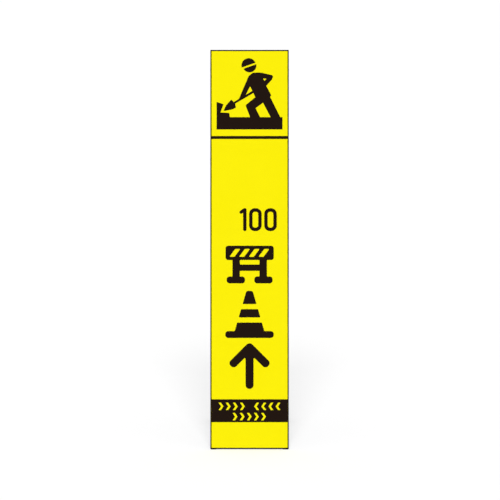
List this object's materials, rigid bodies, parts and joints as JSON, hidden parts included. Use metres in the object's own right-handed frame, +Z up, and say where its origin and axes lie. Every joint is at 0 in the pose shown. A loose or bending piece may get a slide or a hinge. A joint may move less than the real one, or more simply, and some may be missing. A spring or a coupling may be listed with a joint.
{
  "type": "self-standing slim road works sign",
  "caption": "Tall narrow road works sign: yellow reflective face with black film figures, on a square tube ladder frame with a folding rear prop.",
  "frame": {"origin": "on the ground, at the bottom centre of the open sign's bounding box", "axes": "+X to the right as one reads the face, +Y from the face towards the prop, +Z up"},
  "size_m": [0.2764, 0.4975, 1.3711],
  "materials": {
    "yellow_sheeting": "encapsulated retroreflective sheeting, smooth satin top film",
    "black_film": "satin black vinyl film",
    "plate_steel": "plain galvanised sheet",
    "frame_steel": "galvanised square tube",
    "prop_steel": "galvanised square tube",
    "zinc_hardware": "bright zinc plating",
    "rivet_alloy": "plain aluminium blind rivets",
    "black_plastic": "moulded, fine satin grain",
    "black_rubber": "matt moulded rubber"
  },
  "bodies": {
    "board": {"face_plate": "plate_steel", "reflective_sheeting": "yellow_sheeting", "edge_seal": "black_film", "divider_film": "black_film", "band_film": "black_film", "worker_film": "black_film", "helmet_film": "black_film", "head_film": "black_film", "upright_left": "frame_steel", "upright_right": "frame_steel", "rail_bottom": "frame_steel", "rail_middle_1": "frame_steel", "rail_middle_2": "frame_steel", "rail_hinge": "frame_steel", "rail_top": "frame_steel", "top_plug_left": "black_plastic", "top_plug_right": "black_plastic", "upright_foot_left": "black_rubber", "upright_foot_right": "black_rubber", "rivet_left_1": "rivet_alloy", "rivet_left_2": "rivet_alloy", "rivet_left_3": "rivet_alloy", "rivet_left_4": "rivet_alloy", "rivet_left_5": "rivet_alloy", "rivet_right_1": "rivet_alloy", "rivet_right_2": "rivet_alloy", "rivet_right_3": "rivet_alloy", "rivet_right_4": "rivet_alloy", "rivet_right_5": "rivet_alloy", "rivet_top_left": "rivet_alloy", "rivet_top_right": "rivet_alloy", "hinge_bracket_left": "zinc_hardware", "hinge_bracket_right": "zinc_hardware", "hinge_bolt_left": "zinc_hardware", "hinge_bolt_right": "zinc_hardware", "hinge_nut_left": "zinc_hardware", "hinge_nut_right": "zinc_hardware", "hinge_washer_left_outer": "zinc_hardware", "hinge_washer_left_inner": "zinc_hardware", "hinge_washer_right_outer": "zinc_hardware", "hinge_washer_right_inner": "zinc_hardware"},
    "prop": {"prop_leg_left": "prop_steel", "prop_leg_right": "prop_steel", "prop_crossbar_lower": "prop_steel", "prop_crossbar_upper": "prop_steel", "prop_boot_left": "black_rubber", "prop_boot_right": "black_rubber"}
  },
  "joints": [
    {"name": "prop_fold", "type": "hinge", "parent": "board", "child": "prop", "pos_m": [0, 0.00288, 1.02196], "axis": [1, 0, 0], "range_deg": [-25, 0]}
  ]
}
